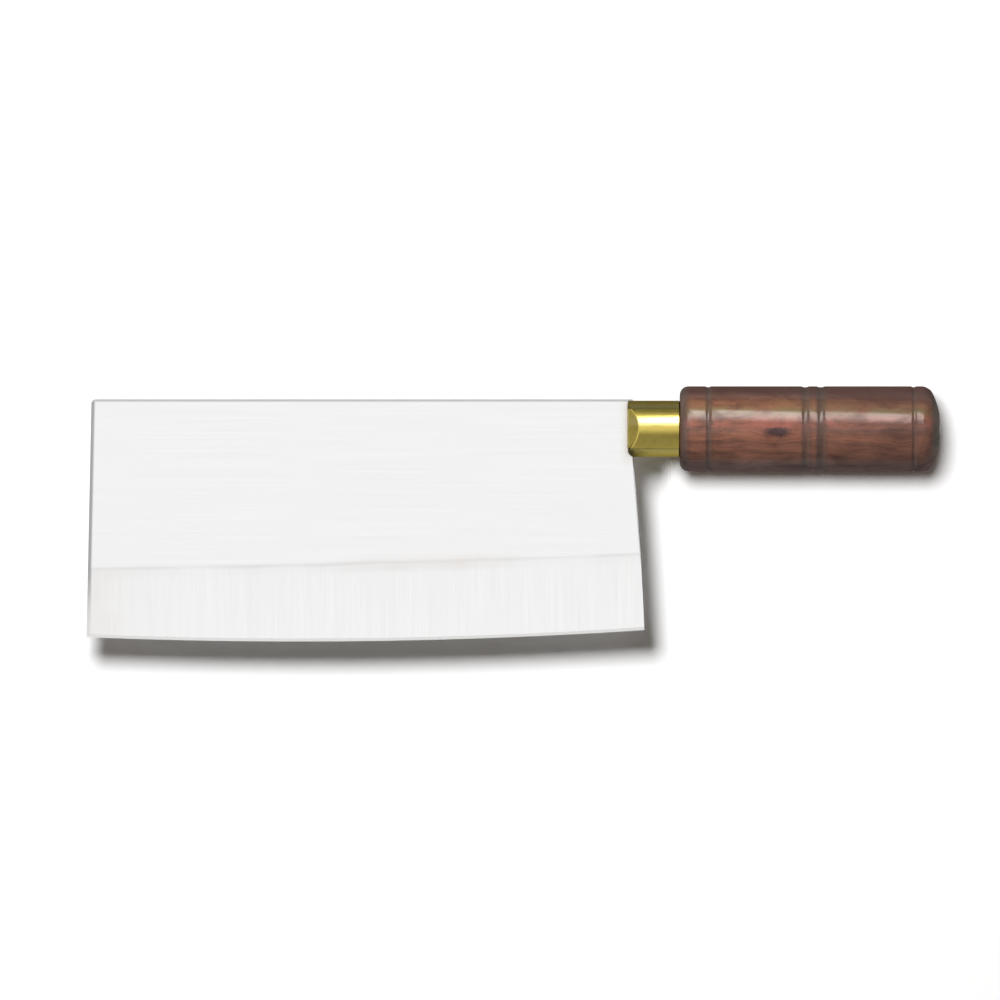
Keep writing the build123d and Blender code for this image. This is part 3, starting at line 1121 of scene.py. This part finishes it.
@dataclass
class Studio:
    """The floor, the lights and the camera."""

    floor_z: float = -15.5 * MM
    floor_reach: float = 4.0
    floor_albedo: float = 0.82
    floor_shown: float = 1.15
    floor_gap: float = 0.05 * MM
    seam_x: Pair = (-56 * MM, -48 * MM)
    seam_y: Pair = (-40 * MM, -25 * MM)
    seam_bend: float = 10 * MM
    opening_x: Pair = (75 * MM, 95 * MM)
    opening_y: Pair = (45 * MM, 60 * MM)
    view_centre: Pair = (-112.99 * MM, -25.93 * MM)
    view_width: float = 364.2 * MM
    lens: float = 600.0
    sensor: float = 36.0
    key: Lamp = Lamp("key", (-385 * MM, 430 * MM, 809 * MM), (-130 * MM, -30 * MM, 0.0), 430 * MM, 11.05)
    top: Lamp = Lamp("top", (-131 * MM, 225 * MM, 921 * MM), (0.0, -5 * MM, -15 * MM), 400 * MM, 9.6)
    ambient: Rgb = (0.094, 0.085, 0.075)
    ceiling_lights: tuple[Pair, ...] = (
        (-90, 0.36), (-24, 0.34), (-16, 0.44), (-9, 0.90), (-3, 1.13), (12, 1.13),
        (46, 0.98), (52, 0.84), (60, 0.60), (68, 0.36), (76, 0.20), (90, 0.14),
    )
    wall_lights: tuple[Pair, ...] = ((-90, 0.60), (-40, 0.74), (-5, 0.90), (30, 0.90), (60, 0.66), (90, 0.30))
    wall_from: Pair = (18 * DEGREE, 40 * DEGREE)
    right_end: Pair = (16 * DEGREE, 60 * DEGREE)
    right_light: float = 0.65
    left_end: Pair = (-84 * DEGREE, -64 * DEGREE)
    left_light: float = 0.46
    horizon: float = 0.001
    strip_power: float = 8.5
    bolster_power: float = 4.6
    strip_distance: float = 200 * MM
    strip_ends: Pair = (-82 * MM, 78 * MM)
    strip_fade: float = 15 * MM
    strip_margin: float = 0.1
    strip_low: Pair = (14 * DEGREE, 33 * DEGREE)
    strip_high: Pair = (41 * DEGREE, 50 * DEGREE)
    bolster_low: Pair = (12 * DEGREE, 31 * DEGREE)
    bolster_high: Pair = (31 * DEGREE, 51 * DEGREE)
    bolster_end: Pair = (-53 * MM, -44 * MM)
    strip_twist: float = 2.0

    @staticmethod
    def aim(lamp: Object, targets: Sequence[Object], aim: Aim) -> None:
        """Says what a lamp lights.

        Args:
            lamp: The lamp or strip light.
            targets: Some objects.
            aim: Whether it lights only them, or all but them.
        """
        lit = bpy.data.collections.new(lamp.name + "_lit")
        for target in targets:
            lit.objects.link(target)
        lamp.light_linking.receiver_collection = lit
        for entry in lit.collection_objects:
            entry.light_linking.link_state = aim.value

    def opening(self, graph: Graph) -> Value:
        """Opens the upper floor round the handle.

        Args:
            graph: The floor's graph.

        Returns:
            1 where it is open, and 0 where it isn't.
        """
        x, y, _ = graph.split(graph.position())
        bent = x + graph.rise(y, *self.seam_y, -self.seam_bend, 0.0)
        opening = graph.rise(bent, *self.seam_x) * graph.rise(x, *self.opening_x, 1.0, 0.0)
        return opening * graph.rise(abs(y), *self.opening_y, 1.0, 0.0)

    def floor(self, name: str, height: float) -> Object:
        """Lays a pale floor, which keeps the shadow. The upper one opens round the handle.

        Args:
            name: Its name.
            height: Its height.

        Returns:
            The floor.
        """
        shape = bmesh.new()
        bmesh.ops.create_grid(shape, x_segments=1, y_segments=1, size=self.floor_reach)
        bmesh.ops.translate(shape, verts=shape.verts[:], vec=(0, 0, height))
        material, graph = new_material(name + "_pale")
        colour = graph.mix(graph.ray(*SEEN), (self.floor_albedo,) * 3, WHITE)
        colour = graph.mix(graph.ray("Camera"), colour, (self.floor_shown,) * 3)
        shader = graph.made("ShaderNodeBsdfDiffuse", Color=colour)
        if height > self.floor_z:
            clear = graph.made("ShaderNodeBsdfTransparent")
            shader = graph.filled(graph.node("ShaderNodeMixShader"), self.opening(graph), shader, clear)
        graph.show(shader)
        floor = meshed(shape, name, material)
        return floor

    def strip(self) -> Object:
        """Hangs a soft strip light along the handle, which only glossy surfaces see.

        Returns:
            The strip light.
        """
        low, high = self.bolster_low[0] - self.strip_margin, self.bolster_high[1] + self.strip_margin
        left, right = self.strip_ends[0] - self.strip_fade, self.strip_ends[1] + self.strip_fade
        shape = bmesh.new()
        bmesh.ops.create_grid(shape, x_segments=1, y_segments=1, size=0.5)
        across = 2 * self.strip_distance * math.tan((high - low) / 2)
        bmesh.ops.scale(shape, vec=(right - left, across, 1), verts=shape.verts[:])
        bmesh.ops.rotate(shape, matrix=Matrix.Rotation(math.pi, 3, "X"), verts=shape.verts[:])
        bmesh.ops.translate(shape, vec=((left + right) / 2, 0, self.strip_distance), verts=shape.verts[:])
        bmesh.ops.rotate(shape, matrix=Matrix.Rotation(-(low + high) / 2, 3, "X"), verts=shape.verts[:])

        material, graph = new_material("strip_light_glow")
        x, y, z = graph.split(graph.position())
        angle = graph.math("ARCTAN2", y, z)
        turned = x * self.strip_twist + angle
        on_wood = graph.rise(turned, *self.strip_low) * graph.rise(turned, *self.strip_high, self.strip_power, 0.0)
        on_brass = graph.rise(angle, *self.bolster_low) * graph.rise(angle, *self.bolster_high, self.bolster_power, 0.0)
        glow = (on_wood - on_brass) * graph.rise(x, *self.bolster_end) + on_brass
        glow = glow * graph.rise(x, left, self.strip_ends[0]) * graph.rise(x, self.strip_ends[1], right, 1.0, 0.0)
        lamp = graph.made("ShaderNodeEmission", Strength=glow)
        clear = graph.made("ShaderNodeBsdfTransparent")
        graph.show(graph.filled(graph.node("ShaderNodeAddShader"), lamp, clear))
        strip = meshed(shape, "strip_light", material)
        strip.visible_camera = strip.visible_diffuse = strip.visible_transmission = strip.visible_shadow = False
        return strip

    def world(self) -> None:
        """Makes the studio's walls: white for the camera, and a pale ceiling for metal."""
        world = bpy.data.worlds.new("studio")
        bpy.context.scene.world = world
        world.use_nodes = True
        graph = Graph(world.node_tree)
        x, y, z = graph.split(graph.position("Generated"))
        height = z.most(self.horizon)
        share = graph.math("ARCTAN2", y, height) * (1 / math.pi) + 0.5
        along = graph.math("ARCTAN2", x, height)
        ceiling, walls = (
            graph.ramp(share, [(0.5 + place / 180, (light,) * 3) for place, light in lights])
            for lights in (self.ceiling_lights, self.wall_lights)
        )
        end_darkening = graph.rise(along, *self.right_end, 1.0, self.right_light)
        end_darkening = end_darkening * graph.rise(along, *self.left_end, self.left_light, 1.0)
        glow = graph.mix(graph.rise(abs(along), *self.wall_from), ceiling, walls)
        glow = graph.mix(1.0, glow, graph.joined(end_darkening, end_darkening, end_darkening), "MULTIPLY")
        shown = graph.mix(graph.ray("Camera"), glow, WHITE)
        background = graph.made("ShaderNodeBackground", Color=graph.mix(graph.ray(*SEEN), self.ambient, shown))
        graph.show(background, "ShaderNodeOutputWorld")

    def camera(self) -> None:
        """Sets the long lens square over the blade."""
        data = bpy.data.cameras.new("camera")
        data.lens = self.lens
        data.sensor_width = self.sensor
        camera = linked("camera", data)
        camera.location = (*self.view_centre, self.view_width * self.lens / self.sensor)
        bpy.context.scene.camera = camera

    def build(self) -> Object:
        """Sets up the whole studio.

        Returns:
            The strip light, which is still to be aimed.
        """
        lower = self.floor("floor", self.floor_z)
        upper = self.floor("floor_under_blade", self.floor_z + self.floor_gap)
        upper.visible_diffuse = upper.visible_glossy = upper.visible_transmission = upper.visible_shadow = False
        strip = self.strip()
        self.world()
        self.aim(self.key.hang(), [lower], Aim.ALL_BUT)
        self.aim(self.top.hang(), [lower], Aim.ONLY)
        self.camera()
        bpy.context.scene.view_settings.view_transform = "Standard"
        log.info("studio ready")
        return strip


def main() -> None:
    """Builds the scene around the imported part."""
    logging.basicConfig(level=logging.INFO, format="%(name)s: %(message)s")
    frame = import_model()
    studio = Studio()
    strip = studio.build()
    BladeWork().dress(frame["nodes"])
    bolster = BolsterWork().build(frame["nodes"])
    BrazeWork().build()
    handle = HandleWork().build()
    tang = TangWork()
    tang.dress(frame["nodes"])
    tang.peen(frame["nodes"])
    studio.aim(strip, (bolster, handle), Aim.ONLY)


if __name__ == "__main__":
    main()
